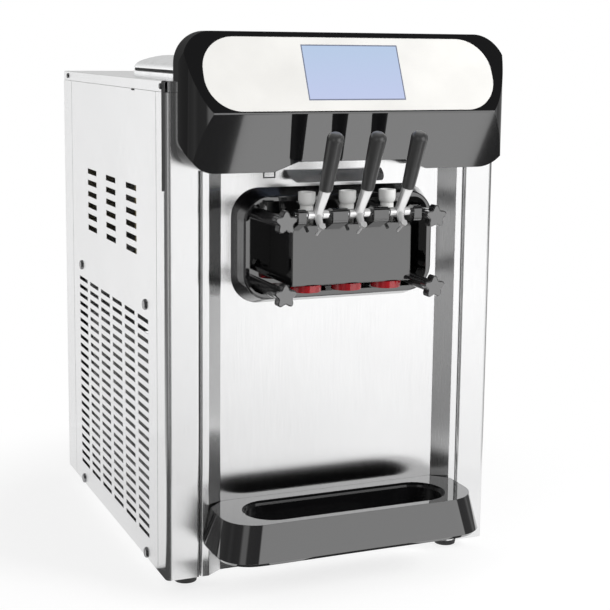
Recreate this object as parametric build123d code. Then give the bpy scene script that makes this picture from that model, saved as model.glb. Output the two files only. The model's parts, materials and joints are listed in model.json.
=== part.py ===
"""Countertop soft-serve ice cream machine: two freezing cylinders, three draw handles.

Millimetres, +Z up. While it is built, X is left to right across the front, Y runs back from the
face of the front columns and Z is height above the counter. The finished pieces are moved along Y
so that the origin lies under the middle of the overall box.
"""
from build123d import *
from math import atan2, cos, hypot, pi, radians, sin, tan
import os

os.makedirs("parts", exist_ok=True)

# ---------------------------------------------------------------- cabinet
cabinet_width = 540.0
cabinet_depth = 630.0
cabinet_top = 764.0
foot_height = 20.0
foot_radius = 20.0
foot_inset_x = 44.0
foot_inset_y = 46.0
sheet = 1.0
pan_sheet = 1.2
bend = 4.0
column_bend = 8.0
column_width = 53.5
column_side = 45.0
strip_width = 12.5
recess_depth = 17.5
recess_splay = 24.0
skirt_height = 16.0
rear_wrap = 62.0
panel_return = 10.0
joint_gap = 0.5
seam_gap = 1.2
pan_upstand = 24.0
pan_inset = 3.0
column_return = 22.0
frame_tube = 20.0
deck_rail_y = 328.0

# side panel grilles
grille_columns = 6
grille_rows = 23
grille_pitch_y = 75.0
grille_pitch_z = 15.4
grille_slot = (57.0, 6.6)
grille_centre = (307.0, 229.0)
vent_columns = 3
vent_rows = 6
vent_pitch_y = 122.0
vent_pitch_z = 19.6
vent_slot = (59.0, 9.0)
vent_centre = (303.0, 547.0)
louvre_rows = 9
louvre_pitch = 16.0
louvre_slot = (120.0, 5.0)
louvre_centre_z = 200.0
latch_slot = (18.0, 2.4)
latch_y = 166.0
screw_head_radius = 4.6
screw_head_height = 2.6
grille_screw_radius = 8.5
grille_screw_height = 3.2
grille_screw_span = (400.0, 395.0)
grille_screw_sink = 3.5

# ---------------------------------------------------------------- head
head_width = 516.0
head_bottom = 635.0
head_top = 835.0
head_corner = 46.0
head_plan_corner = 62.0
head_depth = 84.0
head_ridge_y = 78.0
head_ridge_z = 721.0
head_foot_y = 51.0
head_crown_y = 26.0
head_wall = 4.0
head_ridge_round = 5.0
notch_top_width = 174.0
notch_bottom_width = 250.0
notch_height = 14.5
fascia_width = 461.0
fascia_height = 114.0
fascia_corner = 52.0
fascia_margin = 3.0
fascia_thickness = 2.4
fascia_gap = 0.3
screen_width = 154.0
screen_height = 86.0
screen_body = 6.0
screen_offset = 2.5
board_size = (140.0, 70.0)
board_inset = 6.0
board_thickness = 1.6
board_standoff = 14.0
visor_half = 78.0
visor_height = 17.0
visor_drop = 3.5
visor_corner = 14.0
visor_reach = 13.0

# ---------------------------------------------------------------- dispensing front
outlet_inset = 31.5
valve_y = 37.0
door_centre_z = 516.0
stud_inset = 17.0
stud_span_z = 106.0
stud_drop = 2.5
block_inset = 40.0
block_bottom = 467.0
block_top = 557.0
block_front = 58.0
door_flange_width = 274.0
door_flange_height = 131.0
door_flange_thickness = 18.0
door_flange_corner = 12.0
tub_back = 50.0
tub_wall = 2.5
surround_margin = 27.0
surround_height = 174.0
surround_corner = 44.0
surround_front = 14.0
surround_draft = 10.0
surround_rim = 8.0
surround_centre_z = 519.5
pivot_y = 77.0
pivot_z = 575.0
pivot_rod_radius = 4.0
rod_head_radius = 4.8
lug_height = 22.5
lug_depth = 20.0
lug_corner = 6.0
lug_drop = 3.0
lug_gap = 4.75
end_lug_width = 12.5
hub_radius = 6.3
hub_width = 32.0
hub_waist = 4.9
lever_arm = 41.0
lever_angle = 36.0
finger_radius = 4.0
finger_width = 8.0
neck_bend = (28.5, 39.0)
neck_foot = (12.0, 10.0)
neck_top = (16.5, 12.0)
grip_lean = 23.5
grip_length = 89.5
grip_radius = 12.6
grip_foot_radius = 9.6
grip_tang = 50.0
grip_tang_radius = 4.0
stop_arm = 22.5
valve_radius = 10.0
valve_cup_radius = 12.8
valve_cup_foot = 7.5
valve_cup_height = 20.5
valve_cup_bottom = 583.5
valve_cup_rim = 2.6
slide_clearance = 0.1
gap = 0.3
nozzle_radius = 23.5
nozzle_taper = 1.2
nozzle_height = 10.5
star_radius = 9.0
star_inner_radius = 5.0
knob_radius = 17.5
knob_valley = 11.6
knob_thickness = 15.0
knob_front = 94.0
knob_hub_radius = 9.5
knob_lobes = 5
stud_radius = 4.0

# ---------------------------------------------------------------- drip tray
tray_top = 129.0
tray_bottom = 70.0
tray_inset = 12.5
tray_front = 106.0
tray_corner = 52.0
tray_flare = 12.0
tray_wall = 3.0
tray_slot_width = 332.0
tray_slot_depth = 92.0
tray_slot_y = 48.0
tray_lip = 5.0
tray_lip_drop = 6.0
tray_hook_span = 220.0
tray_hook_cover = 11.0

# ---------------------------------------------------------------- hoppers and cylinders
hopper_side_gap = 45.0
hopper_middle_gap = 38.0
hopper_length = 256.0
hopper_corner = 30.0
hopper_depth = 118.0
hopper_floor_round = 18.0
hopper_y = 178.0
hopper_flange = 9.0
collar_height = 8.0
hopper_wall = 1.2
lid_rise = 21.5
lid_groove = (3.0, 5.0)
lid_lip = 6.0
lid_crown = 62.0
lid_steps = 5
lid_handle_inset = 58.0
lid_handle_height = 16.0
feed_radius = 9.0
feed_y = 110.0
feed_tube_height = 80.0
cylinder_spacing = 124.0
cylinder_bore = 46.0
cylinder_wall = 3.0
cylinder_length = 280.0
deck_drop = 96.0

# ---------------------------------------------------------------- drive and refrigeration
gearbox_size = (92.0, 62.0, 112.0)
gear_shaft_radius = 7.0
gear_pulley_radius = 46.0
motor_pulley_radius = 28.0
pulley_width = 12.0
pulley_gap = 6.0
belt_thickness = 6.0
belt_width = 9.0
motor_drop = 90.0
motor_radius = 62.0
motor_length = 170.0
motor_shaft_radius = 7.0
motor_bell = 20.0
motor_fin = (12.0, 3.0)
motor_hanger = (80.0, 30.0, 6.0)
beater_blades = 2
beater_turn = 300.0
compressor_radius = 76.0
compressor_height = 190.0
compressor_place = (125.0, 190.0)
condenser_size = (38.0, 360.0, 320.0)
condenser_fins = 13
fan_radius = 118.0
fan_hub_radius = 24.0
fan_shaft = (4.0, 24.0)
fan_blades_count = 5
blade_chord = (26.0, 52.0)
fan_depth = 28.0
fan_motor_radius = 36.0
fan_motor_length = 60.0

# ================================================================ helpers
nodes = {}


def keep(name, shape):
    """Register one finished piece under its node name."""
    nodes[name] = shape


def block(x0, x1, y0, y1, z0, z1):
    """Box between two corners."""
    size = (x1 - x0, y1 - y0, z1 - z0)
    return Pos((x0 + x1) / 2, (y0 + y1) / 2, (z0 + z1) / 2) * Box(*size)


def front_slab(sketch, y_front, y_back):
    """Extrude a sketch drawn in (X, Z) between two depths."""
    plane = Plane(origin=(0, y_back, 0), x_dir=(1, 0, 0), z_dir=(0, -1, 0))
    return extrude(plane * sketch, amount=y_back - y_front, dir=(0, -1, 0))


def side_slab(sketch, x_low, x_high):
    """Extrude a sketch drawn in (Y, Z) between two widths."""
    plane = Plane(origin=(x_low, 0, 0), x_dir=(0, 1, 0), z_dir=(1, 0, 0))
    return extrude(plane * sketch, amount=x_high - x_low, dir=(1, 0, 0))


def plan_slab(sketch, z_low, z_high):
    """Extrude a sketch drawn in (X, Y) between two heights."""
    return extrude(Plane.XY.offset(z_low) * sketch, amount=z_high - z_low, dir=(0, 0, 1))


def rod(start, end, radius, end_radius=None):
    """Round bar, or a taper when end_radius is given, between two points."""
    path = Vector(*end) - Vector(*start)
    plane = Plane(origin=start, z_dir=path.normalized())
    if end_radius is None:
        return extrude(plane * Circle(radius), amount=path.length)
    top = Plane(origin=end, z_dir=path.normalized())
    return loft([plane * Circle(radius), top * Circle(end_radius)])


def mirrored(shape):
    """The same piece on the other side of the machine."""
    return mirror(shape, about=Plane.YZ)


def folded(points, radius=bend):
    """Plan section of a folded sheet that follows a line of points."""
    line = FilletPolyline(*points, radius=radius)
    return trace(line, sheet)


half = cabinet_width / 2
skin = sheet / 2
cabinet_bottom = foot_height
pan_floor = cabinet_bottom + pan_sheet
panel_top = cabinet_top - skirt_height - joint_gap
strip_outer = half - column_width
strip_inner = strip_outer - strip_width
recess_half = strip_inner - recess_splay
hopper_spacing = half - hopper_side_gap + hopper_middle_gap / 2
hopper_size = (half - hopper_side_gap - hopper_middle_gap / 2, hopper_length)
deck_height = door_centre_z - deck_drop
motor_z = deck_height - motor_drop
surround_width = door_flange_width + 2 * surround_margin
block_width = door_flange_width - 2 * block_inset
outlet_pitch = block_width / 2 - outlet_inset
lug_width = outlet_pitch - hub_width - 2 * lug_gap
tray_width = 2 * (strip_outer - tray_inset)
lid_handle_width = hopper_size[0] - 2 * lid_handle_inset
hopper_rim_top = cabinet_top + collar_height
outlets = (-outlet_pitch, 0.0, outlet_pitch)
stud_x = door_flange_width / 2 - stud_inset
stud_low = door_centre_z - stud_drop - stud_span_z / 2
stud_high = door_centre_z - stud_drop + stud_span_z / 2
cylinder_x = cylinder_spacing / 2
cylinder_z = door_centre_z
cylinder_rear = tub_back + cylinder_length


# ================================================================ cabinet sheet metal
def base_pan():
    """Floor of the cabinet with a folded rim, on which the machinery stands."""
    x, y0, y1 = half - pan_inset, column_return + joint_gap, cabinet_depth - pan_inset
    outer = block(-x, x, y0, y1, cabinet_bottom, cabinet_bottom + pan_upstand)
    inner = block(-x + pan_sheet, x - pan_sheet, y0 + pan_sheet, y1 - pan_sheet, pan_floor,
                  cabinet_top)
    return outer - inner


def rubber_feet():
    """Four tapered rubber feet with a chamfered sole."""
    foot = rod((0, 0, 0), (0, 0, foot_height), foot_radius - 3, foot_radius)
    xs = half - foot_inset_x
    ys = (foot_inset_y, cabinet_depth - foot_inset_y)
    return Compound([Pos(x, y, 0) * foot for x in (-xs, xs) for y in ys])


def grille_sketch():
    """Holes of a side panel: the long condenser grille and the short upper vent."""
    low = GridLocations(grille_pitch_y, grille_pitch_z, grille_columns, grille_rows)
    high = GridLocations(vent_pitch_y, vent_pitch_z, vent_columns, vent_rows)
    slots = Sketch() + [Pos(*grille_centre) * place * Rectangle(*grille_slot) for place in low]
    slots += [Pos(*vent_centre) * place * Rectangle(*vent_slot) for place in high]
    return slots


def side_panel():
    """Left side panel: a plate with folded returns, slotted for the air flow."""
    y0 = column_side + seam_gap
    y1 = cabinet_depth - rear_wrap - seam_gap
    mid = ((y0 + y1) / 2, (cabinet_bottom + panel_top) / 2)
    plate = Pos(*mid) * Rectangle(y1 - y0, panel_top - cabinet_bottom) - grille_sketch()
    plate -= Pos(latch_y, panel_top) * Rectangle(latch_slot[0], 2 * latch_slot[1])
    panel = side_slab(plate, -half, -half + sheet)
    for edge in (y0, y1 - sheet):
        panel += block(-half + sheet, -half + panel_return, edge, edge + sheet,
                       cabinet_bottom + pan_upstand + joint_gap, panel_top)
    return panel


def grille_screw_places():
    """(Y, Z) of the four screws round the grille."""
    span_y, span_z = grille_screw_span
    y, z = grille_centre[0], grille_centre[1] - grille_screw_sink
    return [(y + sy * span_y / 2, z + sz * span_z / 2) for sy in (-1, 1) for sz in (-1, 1)]


def pan_head(radius, height):
    """Slotted pan head of a screw, standing on the XY plane."""
    head = Pos(0, 0, height / 2) * Cylinder(radius, height)
    head = chamfer(head.edges().group_by(Axis.Z)[-1], 0.45 * height)
    return head - Pos(0, 0, height) * Box(1.4 * radius, 0.2 * radius + 0.4, height)


def panel_screws():
    """Pan-head screws of the side panels and of the top cover's skirt."""
    large = pan_head(grille_screw_radius, grille_screw_height)
    small = pan_head(screw_head_radius, screw_head_height)
    skirt_z = cabinet_top - skirt_height / 2
    skirt_places = [(20, skirt_z), (cabinet_depth - 38, skirt_z)]
    screws = []
    for side in (-1, 1):
        turn = Rot(0, side * 90, 0)
        for head, places in ((large, grille_screw_places()), (small, skirt_places)):
            for y, z in places:
                screws.append(Pos(side * half, y, z) * turn * head)
    return Compound(screws)


def rear_panel():
    """Rear panel folded round both corners, with rows of louvre slots low down."""
    y = cabinet_depth - skin
    x = half - skin
    y_front = cabinet_depth - rear_wrap
    shape = plan_slab(folded([(-x, y_front), (-x, y), (x, y), (x, y_front)]),
                      cabinet_bottom, panel_top)
    slots = GridLocations(2 * louvre_slot[0] * 0.8, louvre_pitch, 2, louvre_rows)
    holes = Sketch() + [Pos(0, louvre_centre_z) * place * Rectangle(*louvre_slot) for place in slots]
    return shape - front_slab(holes, cabinet_depth - 5, cabinet_depth + 5) - gland_hole()


def gland_hole():
    """Hole for the supply lead's gland."""
    return rod((half - 70, cabinet_depth - 8, 70), (half - 70, cabinet_depth + 8, 70), 8.2)


def cable_gland():
    """Moulded gland for the supply lead, clipped through the rear panel."""
    x, z = half - 70, 70
    gland = rod((x, cabinet_depth - 6, z), (x, cabinet_depth, z), 8)
    gland += rod((x, cabinet_depth, z), (x, cabinet_depth + 3, z), 12)
    gland += rod((x, cabinet_depth + 3, z), (x, cabinet_depth + 14, z), 9, 7)
    return gland - rod((x, cabinet_depth - 10, z), (x, cabinet_depth + 20, z), 4)


def top_cover():
    """Top cover with a folded skirt and two hopper openings."""
    z0 = cabinet_top - skirt_height
    cover = block(-half, half, 0, cabinet_depth, z0, cabinet_top)
    cover = fillet(cover.edges().filter_by(Axis.Z), column_bend)
    cover = fillet(cover.edges().group_by(Axis.Z)[-1], 2)
    cover -= block(-half + sheet, half - sheet, sheet, cabinet_depth - sheet, z0 - 1,
                   cabinet_top - sheet)
    hole = RectangleRounded(hopper_size[0] + 2 * (hopper_wall + gap),
                            hopper_size[1] + 2 * (hopper_wall + gap), hopper_corner)
    for side in (-1, 1):
        place = Pos(side * hopper_spacing / 2, hopper_y)
        cover -= plan_slab(place * hole, z0, cabinet_top + 1)
    return cover


def front_column():
    """Left front column, folded from the side round to the recess."""
    x = half - skin
    seam = -strip_outer - seam_gap - skin
    line = [(-x, column_side), (-x, skin), (seam, skin), (seam, column_return)]
    return plan_slab(folded(line, (column_bend, bend)), cabinet_bottom, panel_top)


def front_panel():
    """Recessed front panel between the columns, cut out for the dispensing tub."""
    y = recess_depth + skin
    line = [(-strip_outer + skin, column_return), (-strip_outer + skin, skin),
            (-strip_inner, skin), (-recess_half, y), (recess_half, y), (strip_inner, skin),
            (strip_outer - skin, skin), (strip_outer - skin, column_return)]
    panel = plan_slab(folded(line, 2.5), cabinet_bottom, panel_top)
    hole = Pos(0, surround_centre_z) * RectangleRounded(tub_outer_width(), tub_outer_height(), 26)
    panel -= front_slab(hole, 0, recess_depth + 10)
    for x in (-tray_hook_span / 2, tray_hook_span / 2):
        low, tip = tray_top - 26, tray_top - tray_hook_cover - gap
        hook = block(x - 9, x + 9, recess_depth - 5, recess_depth, low, low + 4)
        hook += block(x - 9, x + 9, recess_depth - 7, recess_depth - 5, low, tip)
        panel += hook
    return panel


def chassis_frame():
    """Welded tube frame: corner posts, top ring and the deck under the cold tank."""
    t = frame_tube
    x0 = half - panel_return - joint_gap - t
    y0, y1 = column_return + joint_gap + pan_sheet, cabinet_depth - pan_inset - pan_sheet - t
    z1 = cabinet_top - sheet
    frame = Part()
    for x in (-x0 - t, x0):
        for y in (y0, y1):
            frame += block(x, x + t, y, y + t, pan_floor, z1)
        for z in (deck_height - t, z1 - t):
            frame += block(x, x + t, y0, y1 + t, z, z + t)
    for y in (tub_back + 12, y1, deck_rail_y):
        frame += block(-x0, x0, y, y + t, deck_height - t, deck_height)
    return frame


# ================================================================ head
def head_profile():
    """Side profile of the head in (Y, Z)."""
    return Polygon((0, head_bottom), (-head_foot_y, head_bottom),
                   (-head_ridge_y, head_ridge_z), (-head_crown_y, head_top), (0, head_top),
                   align=None)


def head_form(inset, back):
    """Solid form of the head, shrunk by inset and running back to depth back."""
    width = head_width - 2 * inset
    height = head_top - head_bottom - 2 * inset
    outline = Pos(0, (head_top + head_bottom) / 2)
    outline *= RectangleRounded(width, height, head_corner - inset)
    form = front_slab(outline, -head_depth - 10, back)
    profile = head_profile()
    if inset:
        profile = offset(profile, amount=-inset, kind=Kind.INTERSECTION)
        profile += Pos(0, (head_top + head_bottom) / 2) * Rectangle(2 * inset + 2 * back, height)
    form &= side_slab(profile, -head_width, head_width)
    plan_depth = 4 * head_depth
    plan = Pos(0, plan_depth / 2 - head_depth + inset)
    plan *= RectangleRounded(width, plan_depth, head_plan_corner - inset)
    return form & plan_slab(plan, head_bottom - 1, head_top + 1)


def fascia_plane(z_shift=0.0):
    """Plane of the tilted control face, its origin at the middle of the fascia."""
    lean = atan2(head_ridge_y - head_crown_y, head_top - head_ridge_z)
    reach = fascia_margin + fascia_height / 2
    origin = Vector(0, -head_ridge_y + sin(lean) * reach, head_ridge_z + cos(lean) * reach)
    normal = Vector(0, -cos(lean), sin(lean))
    return Plane(origin=origin, x_dir=(1, 0, 0), z_dir=normal).offset(z_shift)


def fascia_outline(grow=0.0):
    """Outline of the white fascia: a broad rounded plate."""
    return RectangleRounded(fascia_width + 2 * grow, fascia_height + 2 * grow,
                            fascia_corner + grow)


def screen_outline(grow=0.0):
    """Outline of the touch screen in the fascia's plane."""
    return Pos(0, screen_offset) * Rectangle(screen_width + 2 * grow, screen_height + 2 * grow)


def head_housing():
    """Moulded black head: open at the back, with a notch for the handles."""
    shell = head_form(0, 0)
    ridge = shell.edges().filter_by(Axis.X).filter_by(
        lambda e: abs(e.center().Z - head_ridge_z) < 1)
    shell = fillet(ridge, head_ridge_round)
    shell -= head_form(head_wall, 5)
    shell -= extrude(fascia_plane() * fascia_outline(fascia_gap), amount=-fascia_thickness)
    window = Pos(0, screen_offset) * Rectangle(screen_width + 16, screen_height + 12)
    shell -= extrude(fascia_plane() * window, amount=-2 * head_wall)
    notch = Polygon((-notch_bottom_width / 2, head_bottom - 1),
                    (-notch_top_width / 2, head_bottom + notch_height),
                    (notch_top_width / 2, head_bottom + notch_height),
                    (notch_bottom_width / 2, head_bottom - 1), align=None)
    return shell - front_slab(notch, -head_depth, 1)


def control_panel():
    """White fascia plate let into the head, with the screen window."""
    plate = extrude(fascia_plane() * fascia_outline(), amount=-fascia_thickness + fascia_gap)
    return plate - extrude(fascia_plane() * screen_outline(gap), amount=-2 * fascia_thickness)


def display_screen():
    """Touch screen module behind the fascia window."""
    glass = extrude(fascia_plane() * screen_outline(), amount=-fascia_thickness)
    body = Pos(0, screen_offset) * Rectangle(screen_width + 10, screen_height + 8)
    return glass + extrude(fascia_plane(-fascia_thickness) * body, amount=-screen_body)


def control_board():
    """Control board on four pillars behind the screen."""
    back = fascia_plane(-fascia_thickness - screen_body - board_standoff)
    width, height = board_size
    board = extrude(back * Rectangle(width, height), amount=board_thickness)
    pillars = GridLocations(width - 2 * board_inset, height - 2 * board_inset, 2, 2)
    corners = [place * Circle(2.5) for place in pillars]
    posts = extrude(back.offset(board_thickness) * (Sketch() + corners),
                    amount=board_standoff - board_thickness)
    chips = [Pos(-40, 10) * Rectangle(24, 24), Pos(30, -12) * Rectangle(30, 16),
             Pos(36, 18) * Rectangle(18, 12)]
    return board + posts + extrude(back * (Sketch() + chips), amount=-5)


def head_back_plate():
    """Steel plate that closes the head's back above the cabinet."""
    outline = Pos(0, (head_top + head_bottom) / 2) * RectangleRounded(
        head_width - 2 * head_wall - 2 * gap, head_top - head_bottom - 2 * head_wall - 2 * gap,
        head_corner - head_wall)
    plate = front_slab(outline, -1.2, 0)
    return plate & block(-half, half, -5, 5, cabinet_top + gap, head_top)


# ================================================================ dispensing front
def tub_outer_width():
    """Width of the tub where it passes through the front panel."""
    return surround_width - 2 * surround_draft - 2 * surround_rim + 2 * tub_wall


def tub_outer_height():
    """Height of the tub where it passes through the front panel."""
    return surround_height - 2 * surround_draft - 2 * surround_rim + 2 * tub_wall


def door_surround():
    """Moulded surround: a drafted bezel on the front panel and a tub for the door."""
    centre = Pos(0, surround_centre_z)
    base = Plane(origin=(0, recess_depth, 0), x_dir=(1, 0, 0), z_dir=(0, -1, 0))
    rim = base.offset(recess_depth + surround_front)
    big = centre * RectangleRounded(surround_width, surround_height, surround_corner)
    small = centre * RectangleRounded(surround_width - 2 * surround_draft,
                                      surround_height - 2 * surround_draft,
                                      surround_corner - surround_draft / 2)
    bezel = loft([base * big, rim * small])
    bezel = fillet(bezel.faces().sort_by(Axis.Y)[0].edges(), 3)
    wide, tall = tub_outer_width(), tub_outer_height()
    bezel += front_slab(centre * RectangleRounded(wide, tall, 26), recess_depth, tub_back)
    pocket = RectangleRounded(wide - 2 * tub_wall, tall - 2 * tub_wall, 24)
    bezel -= front_slab(centre * pocket, -surround_front - 1, tub_back - tub_wall)
    for x in (-cylinder_x, cylinder_x):
        bezel -= rod((x, 0, cylinder_z), (x, tub_back + 1, cylinder_z),
                     cylinder_bore + cylinder_wall + gap)
    for x in (-stud_x, stud_x):
        for z in (stud_low, stud_high):
            bezel -= rod((x, 0, z), (x, tub_back + 1, z), stud_radius)
    return bezel


def lug_spans():
    """(low, high) X of the four lugs that carry the pivot rod."""
    end = outlet_pitch + hub_width / 2 + lug_gap
    mid = outlet_pitch / 2
    return [(-end - end_lug_width, -end), (-mid - lug_width / 2, -mid + lug_width / 2),
            (mid - lug_width / 2, mid + lug_width / 2), (end, end + end_lug_width)]


def lug_profile():
    """Side profile of a lug: a rounded block round the rod, running down into the block."""
    nose = Pos(-pivot_y, pivot_z - lug_drop) * RectangleRounded(lug_depth, lug_height, lug_corner)
    reach = pivot_y - block_front + lug_depth
    root = Pos(-block_front + reach / 2, block_top - 4) * Rectangle(reach, 6)
    return make_hull((nose + root).edges())


def door_block():
    """Moulded door: flange over both cylinders, draw block with valve bores, rod lugs."""
    back = tub_back - tub_wall
    seat = back - door_flange_thickness
    flange = Pos(0, surround_centre_z - 2) * RectangleRounded(
        door_flange_width, door_flange_height, door_flange_corner)
    door = front_slab(flange, seat, back)
    mid_z = (block_top + block_bottom) / 2
    body = front_slab(Pos(0, mid_z) * Rectangle(block_width, block_top - block_bottom),
                      -block_front, seat)
    body = fillet(body.edges().filter_by(Axis.X), 2)
    body = fillet(body.edges().filter_by(Axis.Z).sort_by(Axis.Y)[:2], 2)
    door += body
    for low, high in lug_spans():
        door += side_slab(lug_profile(), low, high)
    door -= rod((-block_width, -pivot_y, pivot_z), (block_width, -pivot_y, pivot_z),
                pivot_rod_radius)
    for x in outlets:
        door -= rod((x, -valve_y, block_bottom - 1), (x, -valve_y, block_top + lug_height),
                    valve_radius + slide_clearance)
    for x in (-cylinder_x, cylinder_x):
        door -= rod((x, back - 8, cylinder_z), (x, back + 1, cylinder_z), cylinder_bore - 3)
        side = 1 if x > 0 else -1
        door -= rod((side * outlet_pitch, back, cylinder_z - 24),
                    (side * outlet_pitch, -valve_y, cylinder_z - 24), 7)
        door -= rod((side * 24, back - 4, cylinder_z - 24), (0, -valve_y, cylinder_z - 24), 6)
    for x in (-stud_x, stud_x):
        for z in (stud_low, stud_high):
            door -= rod((x, 0, z), (x, back + 1, z), stud_radius + slide_clearance)
    return door


def door_gaskets():
    """Two rubber rings between the door and the cylinder mouths."""
    y0 = tub_back - tub_wall - 8
    rings = []
    for x in (-cylinder_x, cylinder_x):
        ring = rod((x, y0, cylinder_z), (x, y0 + 4, cylinder_z), cylinder_bore - 3)
        ring -= rod((x, y0 - 1, cylinder_z), (x, y0 + 5, cylinder_z), cylinder_bore - 8)
        rings.append(ring)
    return Compound(rings)


def door_studs():
    """Four studs from the tub's back that clamp the door."""
    ends = [(x, z) for x in (-stud_x, stud_x) for z in (stud_low, stud_high)]
    return Compound([rod((x, tub_back + 6, z), (x, -knob_front + knob_thickness + 6, z),
                         stud_radius) for x, z in ends])


def star_knob(x, z):
    """Five-lobed clamping knob with a long hub, bored for its stud."""
    mean = (knob_radius + knob_valley) / 2
    swing = (knob_radius - knob_valley) / 2
    steps = 8 * knob_lobes
    rim = []
    for i in range(steps):
        turn = 2 * pi * i / steps
        r = mean + swing * sin(knob_lobes * turn)
        rim.append((x + r * cos(turn), z + r * sin(turn)))
    star = make_face(Spline(*rim, periodic=True))
    head = front_slab(star, -knob_front, -knob_front + knob_thickness)
    head = chamfer(head.faces().sort_by(Axis.Y)[0].edges(), 1.5)
    seat = tub_back - tub_wall - door_flange_thickness - gap
    knob = head + rod((x, -knob_front + knob_thickness, z), (x, seat, z), knob_hub_radius)
    return knob - rod((x, seat + 1, z), (x, -knob_front + knob_thickness + 6 - gap, z),
                      stud_radius + slide_clearance)


def pivot_rod():
    """Pivot rod of the handles with a turned head at its left end."""
    end = lug_spans()[-1][1]
    shaft = rod((-end - 2, -pivot_y, pivot_z), (end + 3, -pivot_y, pivot_z), pivot_rod_radius)
    return shaft + rod((-end - 2.8, -pivot_y, pivot_z), (-end, -pivot_y, pivot_z),
                       rod_head_radius)


def grip_foot(x):
    """Plane of a grip's lower end, its normal along the grip."""
    lean = radians(grip_lean)
    return Plane(origin=(x, -pivot_y - neck_bend[0], pivot_z + neck_bend[1]),
                 x_dir=(1, 0, 0), z_dir=(0, -sin(lean), cos(lean)))


def finger_rest():
    """(Y, Z) of the lever's finger at rest, half the stroke below the pivot's level."""
    start = radians(lever_angle / 2)
    return -pivot_y + lever_arm * cos(start), pivot_z - lever_arm * sin(start)


def lever(x):
    """Cast lever: cross hub, neck to the grip, finger in the valve, stop arm and screw."""
    hub_a = (x - hub_width / 2, -pivot_y, pivot_z)
    hub_b = (x + hub_width / 2, -pivot_y, pivot_z)
    collar = 0.28 * hub_width
    body = rod(hub_a, hub_b, hub_waist)
    for start in (hub_a[0], hub_b[0] - collar):
        body += rod((start, -pivot_y, pivot_z), (start + collar, -pivot_y, pivot_z), hub_radius)
    foot = grip_foot(x)
    rise = Vector(0, -neck_bend[0], neck_bend[1]).normalized()
    root = Plane(origin=(x, -pivot_y, pivot_z), x_dir=(1, 0, 0), z_dir=rise)
    neck = loft([root * RectangleRounded(*neck_foot, 3), foot * RectangleRounded(*neck_top, 4)])
    body += neck
    body += foot * Pos(0, 0, grip_tang / 2) * Cylinder(grip_tang_radius, grip_tang)
    fy, fz = finger_rest()
    along = (fy + pivot_y, fz - pivot_z)
    reach = hypot(*along)
    arm = Pos(reach / 2, 0) * Rectangle(reach, 2 * finger_radius - 1)
    arm += Pos(reach, 0) * Circle(finger_radius)
    plane = Plane(origin=(x - finger_width / 2, -pivot_y, pivot_z),
                  x_dir=(0, along[0], along[1]), z_dir=(1, 0, 0))
    body += extrude(plane * arm, amount=finger_width)
    turn = radians(lever_angle)
    tip = (x, -pivot_y - stop_arm * sin(turn), pivot_z - stop_arm * cos(turn))
    body += rod((x, -pivot_y, pivot_z), tip, 6, 4.5)
    way = Vector(0, cos(turn), -sin(turn))
    length = pivot_y - block_front - gap
    start = Vector(*tip) - way * 7
    body += rod(tuple(start), tuple(Vector(*tip) + way * length), 2.5)
    nut = Plane(origin=tuple(Vector(*tip) - way * 7), z_dir=way)
    body += extrude(nut * RegularPolygon(5.5, 6), amount=4)
    return body - rod((x - hub_width, -pivot_y, pivot_z), (x + hub_width, -pivot_y, pivot_z),
                      pivot_rod_radius + slide_clearance)


def grip(x):
    """Moulded handle grip, round-ended and slimmer towards the neck."""
    side = Polygon((0, 0), (grip_foot_radius, 0), (grip_radius, grip_length), (0, grip_length),
                   align=None)
    crown = side.vertices().group_by(Axis.Y)[-1].sort_by(Axis.X)[-1]
    body = revolve(Plane.XZ * fillet(crown, 0.75 * grip_radius), Axis.Z)
    body -= rod((0, 0, -1), (0, 0, grip_tang), grip_tang_radius)
    return grip_foot(x) * body


def draw_valve(x):
    """Draw valve: piston in the block, slotted neck, and a cup-shaped head on top."""
    fy, fz = finger_rest()
    top = valve_cup_bottom + valve_cup_height
    low = block_bottom + 2
    piston = rod((x, -valve_y, low), (x, -valve_y, valve_cup_bottom), valve_radius)
    for z in (low + 10, block_top - 22):
        ring = rod((x, -valve_y, z), (x, -valve_y, z + 4), valve_radius + 1)
        piston -= ring - rod((x, -valve_y, z - 1), (x, -valve_y, z + 5), valve_radius - 1.2)
    bowl = 0.5 * valve_cup_height
    side = Polyline((0, 0), (valve_cup_foot, 0))
    side += EllipticalCenterArc((valve_cup_foot, bowl), valve_cup_radius - valve_cup_foot, bowl,
                                -90, arc_size=90)
    side += Polyline((valve_cup_radius, bowl), (valve_cup_radius, valve_cup_height),
                     (0, valve_cup_height), (0, 0))
    cup = revolve(Plane.XZ * make_face(side), Axis.Z)
    cup = fillet(cup.edges().group_by(Axis.Z)[-1], 1)
    cup -= Pos(0, 0, valve_cup_height) * Cylinder(valve_cup_radius - valve_cup_rim, 12)
    piston += Pos(x, -valve_y, valve_cup_bottom) * cup
    slot = finger_radius + gap + 0.2
    wide = finger_width / 2 + gap
    reach = 2 * valve_radius
    mouth = slot + reach * tan(radians(lever_angle / 2))
    wedge = Polygon((-valve_y + finger_radius + 2, fz - slot), (fy, fz - slot),
                    (fy - reach, fz - mouth), (fy - reach, fz + mouth), (fy, fz + slot),
                    (-valve_y + finger_radius + 2, fz + slot), align=None)
    return piston - side_slab(wedge, x - wide, x + wide)


def nozzle_caps():
    """Three moulded nozzle caps with a star-shaped outlet."""
    points = []
    for i in range(12):
        r = star_radius if i % 2 else star_inner_radius
        points.append((r * cos(pi * i / 6), r * sin(pi * i / 6)))
    star = Polygon(*points, align=None)
    z0 = block_bottom - nozzle_height
    caps = []
    for x in outlets:
        cap = rod((x, -valve_y, z0), (x, -valve_y, block_bottom), nozzle_radius - nozzle_taper,
                  nozzle_radius)
        cap -= rod((x, -valve_y, z0 + 3), (x, -valve_y, block_bottom + 1), star_radius + 3)
        caps.append(cap - plan_slab(Pos(x, -valve_y) * star, z0 - 1, block_bottom))
    return Compound(caps)


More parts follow.
